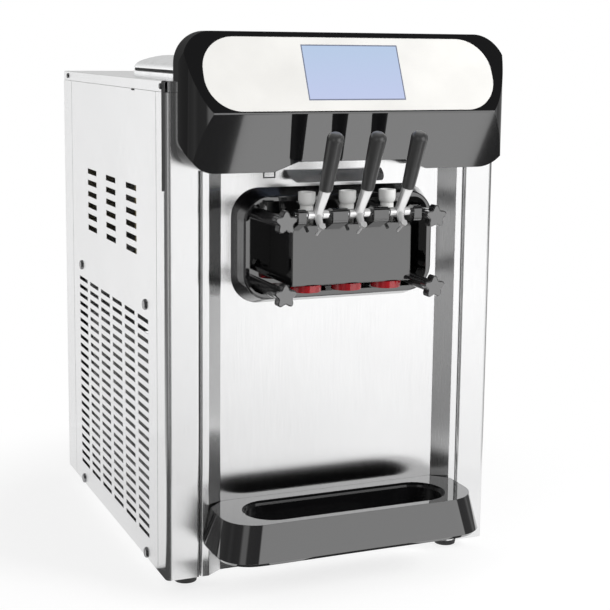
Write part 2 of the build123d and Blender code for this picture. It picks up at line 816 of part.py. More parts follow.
def splash_visor():
    """Curved steel visor under the head, behind the valves."""
    z_top = head_bottom - visor_drop
    z_foot = z_top - visor_height
    root = recess_depth - visor_reach / 2
    front = root - visor_reach - visor_height / 2
    side = Polygon((recess_depth, z_top), (root, z_top), (front, z_foot),
                   (front + 1.4 * sheet, z_foot), (root + 0.6 * sheet, z_top - 1.2 * sheet),
                   (recess_depth, z_top - 1.2 * sheet), align=None)
    folded_sheet = side_slab(side, -visor_half, visor_half)
    outline = Pos(0, z_top - visor_height / 2 + visor_corner / 2)
    outline *= Rectangle(2 * visor_half, visor_height + visor_corner + 2)
    low = outline.vertices().group_by(Axis.Y)[0]
    return folded_sheet & front_slab(fillet(low, visor_corner), -3 * visor_height,
                                     3 * visor_height)


# ================================================================ drip tray
def tray_outline(grow):
    """Plan outline of the tray, grown by grow at the sides and the front."""
    w = tray_width / 2 + grow
    f = tray_front + grow
    r = tray_corner
    back_half = recess_half - 2
    pts = [(-back_half, recess_depth - gap), (-w, -8), (-w, -f), (w, -f), (w, -8),
           (back_half, recess_depth - gap)]
    shape = Polygon(*pts, align=None)
    corners = shape.vertices().filter_by(lambda v: v.Y < -f + 1)
    return fillet(corners, r)


def drip_tray():
    """Drip tray: flared moulding with a stepped slot-shaped well."""
    low = tray_bottom
    body = loft([Plane.XY.offset(low) * tray_outline(tray_flare),
                 Plane.XY.offset(tray_top) * tray_outline(0)])
    foot = body.faces().sort_by(Axis.Z)[0].edges().filter_by(
        lambda e: e.center().Y < recess_depth - 5)
    body = chamfer(foot, 5)
    lip = Pos(0, -tray_slot_y) * SlotOverall(tray_slot_width, tray_slot_depth)
    well = Pos(0, -tray_slot_y) * SlotOverall(tray_slot_width - 2 * tray_lip,
                                              tray_slot_depth - 2 * tray_lip)
    body -= plan_slab(lip, tray_top - tray_lip_drop, tray_top + 1)
    body -= plan_slab(well, low + tray_wall, tray_top + 1)
    for x in (-tray_hook_span / 2, tray_hook_span / 2):
        body -= block(x - 10, x + 10, recess_depth - 8, recess_depth + 1, low - 1,
                      tray_top - tray_hook_cover)
    return body


# ================================================================ hoppers
def hopper():
    """Left mix hopper: deep-drawn tub with a flange, collar and outlet neck."""
    x = -hopper_spacing / 2
    w, d = hopper_size
    place = Pos(x, hopper_y)
    floor = hopper_rim_top - hopper_depth
    outer = plan_slab(place * RectangleRounded(w + 2 * hopper_wall, d + 2 * hopper_wall,
                                               hopper_corner), floor - hopper_wall,
                      hopper_rim_top)
    outer = fillet(outer.edges().group_by(Axis.Z)[0], hopper_floor_round)
    inner = plan_slab(place * RectangleRounded(w, d, hopper_corner - hopper_wall), floor,
                      hopper_rim_top + 1)
    inner = fillet(inner.edges().group_by(Axis.Z)[0], hopper_floor_round - hopper_wall)
    flange = plan_slab(place * RectangleRounded(w + 2 * hopper_flange, d + 2 * hopper_flange,
                                                hopper_corner), cabinet_top, hopper_rim_top)
    edge = hopper_flange - hopper_wall
    flange -= plan_slab(place * RectangleRounded(w + 2 * edge, d + 2 * edge,
                                                 hopper_corner - hopper_wall),
                        cabinet_top - 1, hopper_rim_top - hopper_wall)
    neck_foot = cylinder_z + cylinder_bore + cylinder_wall
    neck = rod((-cylinder_x, feed_y, neck_foot), (-cylinder_x, feed_y, floor), feed_radius + 2)
    tub = outer + flange + neck - inner
    return tub - rod((-cylinder_x, feed_y, neck_foot - 1), (-cylinder_x, feed_y, floor + 5),
                     feed_radius)


def lid_shell(inset):
    """Solid under the lid's domed skin, shrunk by inset all round and from below."""
    edge = hopper_flange - 1 - inset
    w, d = hopper_size[0] + 2 * edge, hopper_size[1] + 2 * edge
    steps = []
    for k in range(lid_steps + 1):
        turn = pi / 2 * k / lid_steps
        inward = (lid_crown - inset) * (1 - cos(turn))
        steps.append(Plane.XY.offset(inset + (lid_rise - 2 * inset) * sin(turn))
                     * RectangleRounded(w - 2 * inward, d - 2 * inward, hopper_corner - inset))
    return loft(steps)


def hopper_lid():
    """Left hopper lid: domed sheet on a grooved rim, with a strap handle."""
    w, d = hopper_size
    x = -hopper_spacing / 2
    place = Pos(x, hopper_y)
    rim = hopper_rim_top + gap
    depth, height = lid_groove
    edge = hopper_flange - 1 - depth
    dome = Pos(x, hopper_y, rim + height)
    lid = dome * lid_shell(0)
    lid += plan_slab(place * RectangleRounded(w + 2 * edge, d + 2 * edge, hopper_corner - depth),
                     rim, rim + height)
    lip = RectangleRounded(w - 3, d - 3, hopper_corner - 3)
    lid += plan_slab(place * lip, rim - lid_lip, rim)
    lid -= dome * lid_shell(sheet)
    for grow, low, high in ((edge - sheet, rim + sheet, rim + height + sheet),
                            (-1.5 - sheet, rim - lid_lip - 1, rim + sheet)):
        bore = RectangleRounded(w + 2 * grow, d + 2 * grow, hopper_corner - 4)
        lid -= plan_slab(place * bore, low, high)
    top = rim + height + lid_rise
    hw = lid_handle_width / 2
    strap = block(x - hw, x + hw, hopper_y - 9, hopper_y + 9, top, top + lid_handle_height)
    strap = fillet(strap.edges().filter_by(Axis.Y).group_by(Axis.Z)[-1], 8)
    return lid + strap - block(x - hw + 3, x + hw - 3, hopper_y - 10, hopper_y + 10, top,
                               top + lid_handle_height - 3)


def feed_tube():
    """Left feed tube that stands in the hopper outlet, with a cross hole for the mix."""
    x = -cylinder_x
    floor = hopper_rim_top - hopper_depth
    tube = rod((x, feed_y, floor - 30), (x, feed_y, floor + feed_tube_height), feed_radius - gap)
    tube += rod((x, feed_y, floor + gap), (x, feed_y, floor + 8), feed_radius + 4)
    tube += rod((x, feed_y, floor + feed_tube_height - 12),
                (x, feed_y, floor + feed_tube_height), feed_radius + 3)
    tube -= rod((x, feed_y, floor - 40), (x, feed_y, floor + feed_tube_height + 1),
                feed_radius - 3)
    return tube - rod((x - 20, feed_y, floor + 16), (x + 20, feed_y, floor + 16), 3)


def freezing_cylinder():
    """Left freezing cylinder with its mouth in the tub and a shaft hole behind."""
    x, z = -cylinder_x, cylinder_z
    r = cylinder_bore + cylinder_wall
    tube = rod((x, tub_back - tub_wall, z), (x, cylinder_rear, z), r)
    tube -= rod((x, 0, z), (x, cylinder_rear - cylinder_wall, z), cylinder_bore)
    tube -= rod((x, 0, z), (x, cylinder_rear + 1, z), gear_shaft_radius + 1)
    return tube - rod((x, feed_y, z), (x, feed_y, z + r + 1), feed_radius)


def insulation_block():
    """Foamed cold tank round both cylinders, carried on the deck, under the hoppers."""
    floor = hopper_rim_top - hopper_depth - hopper_wall
    w = hopper_spacing / 2 + hopper_size[0] / 2
    y0 = tub_back + 2
    tank = block(-w, w, y0, cylinder_rear - 12, deck_height, floor - hopper_floor_round)
    tank += block(-w + 26, w - 26, y0, cylinder_rear - 12, deck_height, floor)
    r = cylinder_bore + cylinder_wall
    for x in (-cylinder_x, cylinder_x):
        tank -= rod((x, 0, cylinder_z), (x, cylinder_rear, cylinder_z), r)
        tank -= rod((x, feed_y, cylinder_z), (x, feed_y, floor + 1), feed_radius + 2)
    for x in (-stud_x, stud_x):
        for z in (stud_low, stud_high):
            tank -= rod((x, 0, z), (x, y0 + 6, z), stud_radius)
    return tank


def beater():
    """Left beater: twin helical scraper blades between a rear hub and a front ring."""
    x, z = -cylinder_x, cylinder_z
    r_out = cylinder_bore - 1.2
    y0 = tub_back + 3
    y1 = cylinder_rear - cylinder_wall - 3
    ring = 6.0
    start = Plane(origin=(x, y0 + ring / 2, z), x_dir=(1, 0, 0), z_dir=(0, 1, 0))
    body = Part()
    for k in range(beater_blades):
        turn = 360 / beater_blades * k
        section = start * Rot(0, 0, turn) * Pos(r_out - 8, 0) * Rectangle(15, 4)
        body += Solid.extrude_linear_with_rotation(
            section.face(), center=Vector(x, y0, z),
            normal=Vector(0, y1 - y0 - ring, 0), angle=beater_turn)
    hoop = rod((x, y0, z), (x, y0 + ring, z), r_out)
    body += hoop - rod((x, y0 - 1, z), (x, y0 + ring + 1, z), r_out - 12)
    body += rod((x, y1 - ring, z), (x, y1, z), r_out)
    return body + rod((x, y1, z), (x, cylinder_rear + 10, z), gear_shaft_radius)


# ================================================================ drive
def pulley_y(index):
    """Depth where pulley groove number index begins."""
    return cylinder_rear + gearbox_size[1] + 8 + index * (pulley_width + pulley_gap)


def gearbox():
    """Left reduction gearbox on the cylinder's rear wall."""
    w, d, h = gearbox_size
    y0 = cylinder_rear
    body = block(-cylinder_x - w / 2 - 10, -cylinder_x + w / 2 - 10, y0, y0 + d,
                 cylinder_z - h / 2, cylinder_z + h / 2)
    body = fillet(body.edges().filter_by(Axis.Y), 14)
    body += rod((-cylinder_x, y0 + d, cylinder_z), (-cylinder_x, y0 + d + 6, cylinder_z), 22)
    return body - rod((-cylinder_x, y0 - 1, cylinder_z), (-cylinder_x, y0 + d + 7, cylinder_z),
                      gear_shaft_radius + slide_clearance)


def pulley(x, z, radius, grooves, shaft_radius, shaft_back):
    """Belt pulley with flanges, on a shaft that reaches back to shaft_back."""
    body = rod((x, shaft_back, z), (x, pulley_y(grooves[-1]) + pulley_width, z), shaft_radius)
    for index in grooves:
        y = pulley_y(index)
        body += rod((x, y, z), (x, y + pulley_width, z), radius + belt_thickness)
        cut = rod((x, y + 1.5, z), (x, y + pulley_width - 1.5, z), radius + belt_thickness + 5)
        body -= cut - rod((x, y, z), (x, y + pulley_width, z), radius)
    return body


def gear_pulley(side):
    """Driven pulley on a gearbox input shaft."""
    x = side * cylinder_x
    index = 0 if side < 0 else 1
    back = cylinder_rear + gearbox_size[1] / 2
    return pulley(x, cylinder_z, gear_pulley_radius, [index], gear_shaft_radius, back)


def motor_pulley():
    """Two-groove pulley on the drive motor's shaft."""
    back = pulley_y(0) - 8 - motor_bell
    return pulley(0, motor_z, motor_pulley_radius, [0, 1], motor_shaft_radius, back)


def drive_motor():
    """Drive motor: finned shell, end bells and a hanger up to the deck."""
    y1 = pulley_y(0) - 8
    y0 = y1 - motor_length
    motor = rod((0, y0, motor_z), (0, y1, motor_z), motor_radius - 5)
    for place in PolarLocations(motor_radius - 6, 16):
        fin = Pos(0, motor_z) * place * Rectangle(*motor_fin)
        motor += front_slab(fin, y0 + 1.1 * motor_bell, y1 - 1.1 * motor_bell)
    for ya, yb in ((y0, y0 + motor_bell), (y1 - motor_bell, y1)):
        motor += rod((0, ya, motor_z), (0, yb, motor_z), motor_radius)
    deck = deck_height - frame_tube
    wide, ahead, web = motor_hanger
    y2, y3 = deck_rail_y - ahead, deck_rail_y + frame_tube
    motor += block(-wide / 2, wide / 2, y2, y3, deck - 4, deck)
    for x in (-wide / 2, wide / 2 - web):
        motor += block(x, x + web, y2, y3, motor_z + motor_radius / 2, deck)
    return motor - rod((0, y1 - 30, motor_z), (0, y1 + 1, motor_z),
                       motor_shaft_radius + slide_clearance)


def drive_belts():
    """Two belts from the motor to the gearbox pulleys."""
    belts = []
    for side, index in ((-1, 0), (1, 1)):
        ends = [(side * cylinder_x, cylinder_z, gear_pulley_radius),
                (0.0, motor_z, motor_pulley_radius)]
        outer = Sketch() + [Pos(x, z) * Circle(r + gap + belt_thickness) for x, z, r in ends]
        inner = Sketch() + [Pos(x, z) * Circle(r + gap) for x, z, r in ends]
        loop = make_hull(outer.edges()) - make_hull(inner.edges())
        y = pulley_y(index) + (pulley_width - belt_width + 1) / 2
        belts.append(front_slab(loop, y, y + belt_width - 1))
    return Compound(belts)


# ================================================================ refrigeration
def compressor():
    """Hermetic compressor: domed can on a foot plate with two pipe stubs."""
    x, y = compressor_place
    floor = pan_floor
    r, h = compressor_radius, compressor_height
    can = Pos(x, y, floor + 10 + h / 2) * Cylinder(r, h)
    can = fillet(can.edges().group_by(Axis.Z)[-1], 38)
    can = fillet(can.edges().group_by(Axis.Z)[0], 14)
    can += Pos(x, y, floor + 10 + h * 0.55) * Cylinder(r + 3, 5)
    foot = Pos(x, y) * RectangleRounded(2 * r + 36, 2 * r * 0.8, 12)
    can += plan_slab(foot, floor + 8, floor + 12)
    pads = [Pos(x, y) * place * Circle(9) for place in GridLocations(2 * r + 12, r, 2, 2)]
    can += plan_slab(Sketch() + pads, floor, floor + 8)
    return can + rod((x - 20, y, floor + h), (x - 20, y, floor + h + 34), 5)


def condenser():
    """Finned condenser behind the left grille, standing on the base pan."""
    t, d, h = condenser_size
    x0 = -half + panel_return + 4
    y0 = grille_centre[0] - d / 2
    floor = pan_floor
    core = Part()
    step = (d - 2) / (condenser_fins - 1)
    for i in range(condenser_fins):
        core += block(x0, x0 + t, y0 + i * step, y0 + i * step + 2, floor, floor + h)
    for k in range(5):
        z = floor + h * (k + 0.5) / 5
        core += rod((x0 + t / 2, y0 - 6, z), (x0 + t / 2, y0 + d + 6, z), 5)
    return core


def fan_centre():
    """(X, Y, Z) of the fan's front face on its axis."""
    x = -half + panel_return + 4 + condenser_size[0]
    return x + 6, grille_centre[0], cabinet_bottom + 14 + fan_radius


def fan_shroud():
    """Shroud plate round the fan, with the fan motor on its struts."""
    x, y, z = fan_centre()
    floor = pan_floor
    r = fan_radius + 4
    plate = Pos(y, (floor + z + r + 20) / 2) * Rectangle(2 * r + 60, z + r + 20 - floor)
    shroud = side_slab(plate - Pos(y, z) * Circle(r), x - 6, x - 4)
    back = x + fan_depth + 8
    ring = side_slab(Pos(y, z) * (Circle(r + 2) - Circle(r)), x - 4, back + 4)
    strut = side_slab(Pos(y, z) * (Rectangle(2 * r + 2, 10) - Circle(fan_motor_radius - 4)),
                      back, back + 4)
    motor = rod((back, y, z), (back + fan_motor_length, y, z), fan_motor_radius)
    motor -= rod((back - 1, y, z), (back + 0.8 * fan_shaft[1], y, z),
                 fan_shaft[0] + slide_clearance)
    return shroud + ring + strut + motor


def fan_blades():
    """Axial fan: hub with pitched blades on a short shaft."""
    x, y, z = fan_centre()
    hub = rod((x, y, z), (x + fan_depth, y, z), fan_hub_radius)
    hub += rod((x + fan_depth, y, z), (x + fan_depth + fan_shaft[1], y, z), fan_shaft[0])
    blades = Part()
    for k in range(fan_blades_count):
        inner = Plane(origin=(0, 0, fan_hub_radius - 3), z_dir=(0, 0, 1)) * Rot(0, 0, 50)
        outer = Plane(origin=(0, 0, fan_radius - 3), z_dir=(0, 0, 1)) * Rot(0, 0, 66)
        blade = loft([inner * Rectangle(blade_chord[0], 2.4),
                      outer * Rectangle(blade_chord[1], 1.8)])
        blades += Pos(x + fan_depth / 2, y, z) * Rot(360 / fan_blades_count * k, 0, 0) * blade
    limit = rod((x, y, z), (x + fan_depth, y, z), fan_radius)
    return hub + (blades & limit)


# ================================================================ build all pieces
keep("base_pan", base_pan())
keep("rubber_feet", rubber_feet())
keep("side_panel_left", side_panel())
keep("side_panel_right", mirrored(nodes["side_panel_left"]))
keep("panel_screws", panel_screws())
keep("rear_panel", rear_panel())
keep("cable_gland", cable_gland())
keep("top_cover", top_cover())
keep("front_column_left", front_column())
keep("front_column_right", mirrored(nodes["front_column_left"]))
keep("front_panel", front_panel())
keep("chassis_frame", chassis_frame())
keep("head_housing", head_housing())
keep("control_panel", control_panel())
keep("display_screen", display_screen())
keep("control_board", control_board())
keep("head_back_plate", head_back_plate())
keep("door_surround", door_surround())
keep("door_block", door_block())
keep("door_gaskets", door_gaskets())
keep("door_studs", door_studs())
keep("pivot_rod", pivot_rod())
keep("nozzle_caps", nozzle_caps())
keep("splash_visor", splash_visor())
keep("drip_tray", drip_tray())
keep("insulation_block", insulation_block())
keep("compressor", compressor())
keep("condenser", condenser())
keep("fan_shroud", fan_shroud())
keep("fan_blades", fan_blades())
keep("drive_motor", drive_motor())
keep("motor_pulley", motor_pulley())
keep("drive_belts", drive_belts())

for name, piece in (("hopper", hopper()), ("hopper_lid", hopper_lid()),
                    ("feed_tube", feed_tube()), ("freezing_cylinder", freezing_cylinder()),
                    ("gearbox", gearbox())):
    keep(name + "_left", piece)
    keep(name + "_right", mirrored(piece))
keep("beater_left", beater())
keep("beater_right", Pos(cylinder_spacing, 0, 0) * nodes["beater_left"])
keep("gear_pulley_left", gear_pulley(-1))
keep("gear_pulley_right", gear_pulley(1))

for place, x in zip(("left", "middle", "right"), outlets):
    keep("lever_" + place, lever(x))
    keep("grip_" + place, grip(x))
    keep("draw_valve_" + place, draw_valve(x))

for level, z in (("upper", stud_high), ("lower", stud_low)):
    for side, x in (("left", -stud_x), ("right", stud_x)):
        keep("star_knob_" + level + "_" + side, star_knob(x, z))

# the origin lies on the counter under the middle of the overall box
low_y = min(piece.bounding_box().min.Y for piece in nodes.values())
high_y = max(piece.bounding_box().max.Y for piece in nodes.values())
centre_shift = -(low_y + high_y) / 2

if __name__ == "__main__":
    for name, piece in nodes.items():
        export_step(Pos(0, centre_shift, 0) * piece, os.path.join("parts", name + ".step"))
    print(len(nodes), "nodes, shifted along Y by", round(centre_shift, 3))
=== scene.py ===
"""Looks of the countertop soft-serve machine: finishes, small trim, studio light and camera.

Metres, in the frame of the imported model: +X right, +Y to the back, +Z up.
"""
import json
import math

import bmesh
import bpy
from mathutils import Matrix, Vector


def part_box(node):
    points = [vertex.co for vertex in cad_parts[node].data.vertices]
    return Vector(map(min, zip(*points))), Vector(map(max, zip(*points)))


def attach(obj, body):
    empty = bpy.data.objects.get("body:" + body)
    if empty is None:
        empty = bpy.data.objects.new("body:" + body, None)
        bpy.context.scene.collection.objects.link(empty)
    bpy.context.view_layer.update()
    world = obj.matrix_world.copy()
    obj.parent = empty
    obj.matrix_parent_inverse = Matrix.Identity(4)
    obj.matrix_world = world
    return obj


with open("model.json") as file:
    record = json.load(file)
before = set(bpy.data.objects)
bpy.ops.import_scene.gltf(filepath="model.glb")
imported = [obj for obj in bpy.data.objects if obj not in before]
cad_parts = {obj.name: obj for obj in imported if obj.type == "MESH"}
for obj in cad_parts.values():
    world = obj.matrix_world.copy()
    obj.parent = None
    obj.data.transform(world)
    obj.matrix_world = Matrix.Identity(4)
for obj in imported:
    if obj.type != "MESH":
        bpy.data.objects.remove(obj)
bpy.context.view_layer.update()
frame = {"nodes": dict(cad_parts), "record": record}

MM = 0.001
front_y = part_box("front_column_left")[0].y
head_low, head_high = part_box("head_housing")
tray_low, tray_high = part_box("drip_tray")

# The control face leans back from the head's ridge to its crown, 52 mm in 114 mm. The screen
# lies in it, with its middle a reach above the ridge along the face.
head_ridge = head_low.z + 86 * MM
face_lean = math.atan2(52, 114)
screen_width = 154 * MM
screen_height = 86 * MM
screen_reach = 62.5 * MM
screen_edge = 1.5 * MM

# X range of the right splay, between the recessed sheet and the strip beside it.
splay_start, splay_end = 180 * MM, 204 * MM

# Most values of a noise texture lie between these.
NOISE_LOW, NOISE_HIGH = 0.3, 0.7


# ---------------------------------------------------------------- node helpers
def new_material(name):
    """Node material with its Principled shader."""
    mat = bpy.data.materials.new(name)
    mat.use_nodes = True
    return mat, mat.node_tree.nodes, mat.node_tree.links, mat.node_tree.nodes["Principled BSDF"]


def feed(links, socket, value):
    """Give a socket a fixed value, or link it to another socket."""
    if isinstance(value, (int, float, tuple)):
        socket.default_value = value
    else:
        links.new(value, socket)


def object_coordinates(nodes, links, scale=(1, 1, 1)):
    """Object coordinates stretched by scale."""
    where = nodes.new("ShaderNodeTexCoord")
    stretch = nodes.new("ShaderNodeMapping")
    stretch.inputs["Scale"].default_value = scale
    links.new(where.outputs["Object"], stretch.inputs["Vector"])
    return stretch.outputs["Vector"]


def separate(nodes, links, vector):
    """X, Y and Z sockets of a vector."""
    node = nodes.new("ShaderNodeSeparateXYZ")
    links.new(vector, node.inputs["Vector"])
    return node.outputs


def calculate(nodes, links, operation, *operands):
    """Math node on sockets or fixed numbers."""
    node = nodes.new("ShaderNodeMath")
    node.operation = operation
    for socket, operand in zip(node.inputs, operands):
        feed(links, socket, operand)
    return node.outputs["Value"]


def away_from(nodes, links, value, middle):
    """Distance of a value from a middle."""
    return calculate(nodes, links, "ABSOLUTE", calculate(nodes, links, "SUBTRACT", value, middle))


def noise(nodes, links, vector, scale, detail=3.0, rough=0.5):
    """Noise texture on a vector."""
    node = nodes.new("ShaderNodeTexNoise")
    node.inputs["Scale"].default_value = scale
    node.inputs["Detail"].default_value = detail
    node.inputs["Roughness"].default_value = rough
    links.new(vector, node.inputs["Vector"])
    return node.outputs["Fac"]


def spread(nodes, links, value, low, high):
    """Map a noise value to low..high."""
    node = nodes.new("ShaderNodeMapRange")
    node.inputs["From Min"].default_value = NOISE_LOW
    node.inputs["From Max"].default_value = NOISE_HIGH
    node.inputs["To Min"].default_value = low
    node.inputs["To Max"].default_value = high
    links.new(value, node.inputs["Value"])
    return node.outputs["Result"]


def tint(nodes, links, value, dark, light):
    """Mix two colours by a noise value."""
    ramp = nodes.new("ShaderNodeValToRGB")
    first, last = ramp.color_ramp.elements
    first.position, last.position = NOISE_LOW, NOISE_HIGH
    first.color, last.color = (*dark, 1), (*light, 1)
    links.new(value, ramp.inputs["Fac"])
    return ramp.outputs["Color"]


def bump(nodes, links, shader, height, strength, distance, edge=0.4 * MM):
    """Bump the shader's normal by a height value, over edges eased by a radius of edge."""
    node = nodes.new("ShaderNodeBump")
    node.inputs["Strength"].default_value = strength
    node.inputs["Distance"].default_value = distance
    links.new(height, node.inputs["Height"])
    eased = nodes.new("ShaderNodeBevel")
    eased.samples = 4
    eased.inputs["Radius"].default_value = edge
    links.new(eased.outputs["Normal"], node.inputs["Normal"])
    links.new(node.outputs["Normal"], shader.inputs["Normal"])


def fade(nodes, links, value, low, high):
    """Smooth 0..1 rise of a value between low and high."""
    node = nodes.new("ShaderNodeMapRange")
    node.interpolation_type = "SMOOTHSTEP"
    node.inputs["From Min"].default_value = low
    node.inputs["From Max"].default_value = high
    links.new(value, node.inputs["Value"])
    return node.outputs["Result"]


def blended(nodes, links, share, first, second):
    """First colour, turning into the second as the share rises to 1."""
    mix = nodes.new("ShaderNodeMix")
    mix.data_type = "RGBA"
    links.new(share, mix.inputs["Factor"])
    feed(links, mix.inputs[6], first)
    feed(links, mix.inputs[7], second)
    return mix.outputs[2]


def background(nodes, links, colour, strength):
    """World background of a colour, a fixed one or a socket."""
    node = nodes.new("ShaderNodeBackground")
    node.inputs["Strength"].default_value = strength
    feed(links, node.inputs["Color"], colour)
    return node.outputs["Background"]


def either(nodes, links, switch, no, yes):
    """One shader or another, by a share from 0 to 1."""
    node = nodes.new("ShaderNodeMixShader")
    links.new(switch, node.inputs["Fac"])
    links.new(no, node.inputs[1])
    links.new(yes, node.inputs[2])
    return node.outputs["Shader"]


def shade(colour, factor):
    """Colour made lighter or darker by a factor."""
    return tuple(min(1.0, channel * factor) for channel in colour)


def grey(level):
    """Opaque grey of a level."""
    return (level, level, level, 1)


# ---------------------------------------------------------------- materials
def brushed_steel(name, colour, roughness, grain=(60.0, 60.0, 1.0), brush=0.9,
                  coarse_band=None, coarser=0.08):
    """Stainless sheet: upright brush lines that draw reflections out sideways, faint cloud.

    Across the coarse band, a range of X, the brushing is coarser.
    """
    mat, nodes, links, shader = new_material(name)
    lines = noise(nodes, links, object_coordinates(nodes, links, grain), 30.0, 6.0, 0.65)
    cloud = noise(nodes, links, object_coordinates(nodes, links), 5.0, 3.0, 0.5)
    shader.inputs["Metallic"].default_value = 1.0
    shader.inputs["Anisotropic"].default_value = brush
    level = nodes.new("ShaderNodeTangent")
    level.direction_type = "RADIAL"
    level.axis = "Z"
    links.new(level.outputs["Tangent"], shader.inputs["Tangent"])
    links.new(tint(nodes, links, cloud, shade(colour, 0.98), shade(colour, 1.02)),
              shader.inputs["Base Color"])
    gloss = spread(nodes, links, lines, roughness * 0.85, roughness * 1.15)
    if coarse_band:
        start, end = coarse_band
        across = separate(nodes, links, object_coordinates(nodes, links))["X"]
        off_middle = away_from(nodes, links, across, (start + end) / 2)
        inside = calculate(nodes, links, "LESS_THAN", off_middle, (end - start) / 2)
        gloss = calculate(nodes, links, "MULTIPLY_ADD", inside, coarser, gloss)
    links.new(gloss, shader.inputs["Roughness"])
    bump(nodes, links, shader, lines, 0.05, 0.2 * MM)
    return mat


def cast_metal(name, colour, roughness, pits=0.35, metallic=1.0):
    """Cast or machined metal with a fine pitted skin."""
    mat, nodes, links, shader = new_material(name)
    grain = noise(nodes, links, object_coordinates(nodes, links), 900.0, 4.0, 0.6)
    cloud = noise(nodes, links, object_coordinates(nodes, links), 40.0, 3.0)
    shader.inputs["Metallic"].default_value = metallic
    links.new(tint(nodes, links, cloud, shade(colour, 0.93), shade(colour, 1.05)),
              shader.inputs["Base Color"])
    links.new(spread(nodes, links, grain, roughness * 0.8, roughness * 1.2),
              shader.inputs["Roughness"])
    bump(nodes, links, shader, grain, pits, 0.1 * MM)
    return mat


def gloss_moulding(name, colour, roughness=0.04, ior=1.7, coat_roughness=0.02):
    """Polished moulded plastic under a clear skin, with the faintest orange peel."""
    mat, nodes, links, shader = new_material(name)
    peel = noise(nodes, links, object_coordinates(nodes, links), 60.0, 2.0, 0.4)
    dust = noise(nodes, links, object_coordinates(nodes, links), 700.0, 3.0, 0.6)
    shader.inputs["IOR"].default_value = ior
    shader.inputs["Coat Weight"].default_value = 1.0
    shader.inputs["Coat IOR"].default_value = ior
    shader.inputs["Coat Roughness"].default_value = coat_roughness
    links.new(tint(nodes, links, dust, shade(colour, 0.9), shade(colour, 1.1)),
              shader.inputs["Base Color"])
    links.new(spread(nodes, links, dust, roughness * 0.8, roughness * 1.3),
              shader.inputs["Roughness"])
    bump(nodes, links, shader, peel, 0.02, 0.2 * MM, edge=1.1 * MM)
    return mat


def satin_moulding(name, colour, roughness=0.35, grain=0.08):
    """Fine-grained moulded plastic, rubber, foam or paint."""
    mat, nodes, links, shader = new_material(name)
    fine = noise(nodes, links, object_coordinates(nodes, links), 1200.0, 3.0, 0.6)
    broad = noise(nodes, links, object_coordinates(nodes, links), 12.0, 3.0)
    links.new(tint(nodes, links, broad, shade(colour, 0.95), shade(colour, 1.04)),
              shader.inputs["Base Color"])
    links.new(spread(nodes, links, fine, roughness * 0.85, roughness * 1.15),
              shader.inputs["Roughness"])
    bump(nodes, links, shader, fine, grain, 0.15 * MM)
    return mat


def red_resin():
    """Deep red translucent moulding of the nozzle caps."""
    mat, nodes, links, shader = new_material("red_resin")
    cloud = noise(nodes, links, object_coordinates(nodes, links), 60.0, 3.0)
    links.new(tint(nodes, links, cloud, (0.36, 0.003, 0.010), (0.64, 0.009, 0.020)),
              shader.inputs["Base Color"])
    shader.inputs["Roughness"].default_value = 0.08
    shader.inputs["Transmission Weight"].default_value = 0.35
    shader.inputs["IOR"].default_value = 1.5
    shader.inputs["Coat Weight"].default_value = 0.7
    shader.inputs["Coat IOR"].default_value = 1.7
    return mat


def lit_screen():
    """Pale blue lit screen, a little bluer towards its foot, with a thin dark edge."""
    mat, nodes, links, shader = new_material("lit_screen")
    where = nodes.new("ShaderNodeTexCoord")
    place = separate(nodes, links, where.outputs["Object"])
    low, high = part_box("control_panel")
    height = nodes.new("ShaderNodeMapRange")
    height.inputs["From Min"].default_value = low.z
    height.inputs["From Max"].default_value = high.z
    links.new(place["Z"], height.inputs["Value"])
    glow = nodes.new("ShaderNodeValToRGB")
    foot, crown = glow.color_ramp.elements
    foot.color, crown.color = (0.545, 0.595, 0.83, 1), (0.465, 0.59, 0.77, 1)
    links.new(height.outputs["Result"], glow.inputs["Fac"])
    middle_z = head_ridge + math.cos(face_lean) * screen_reach
    rise = math.cos(face_lean) * screen_height / 2
    beside = calculate(nodes, links, "GREATER_THAN", away_from(nodes, links, place["X"], 0.0),
                       screen_width / 2 - screen_edge)
    above = calculate(nodes, links, "GREATER_THAN", away_from(nodes, links, place["Z"], middle_z),
                      rise - screen_edge)
    edge = calculate(nodes, links, "MAXIMUM", beside, above)
    shader.inputs["Base Color"].default_value = (0.03, 0.035, 0.05, 1)
    shader.inputs["Roughness"].default_value = 0.25
    shader.inputs["Emission Strength"].default_value = 0.96
    links.new(blended(nodes, links, edge, glow.outputs["Color"], (0.17, 0.19, 0.27, 1)),
              shader.inputs["Emission Color"])
    return mat


def circuit_green():
    """Solder mask with faint tracks."""
    mat, nodes, links, shader = new_material("circuit_green")
    tracks = noise(nodes, links, object_coordinates(nodes, links, (1, 0.2, 1)), 160.0, 2.0)
    links.new(tint(nodes, links, tracks, (0.01, 0.10, 0.03), (0.03, 0.24, 0.09)),
              shader.inputs["Base Color"])
    shader.inputs["Roughness"].default_value = 0.35
    return mat


SHEET_COLOUR = (0.80, 0.80, 0.803)
SHEET_ROUGHNESS = 0.21

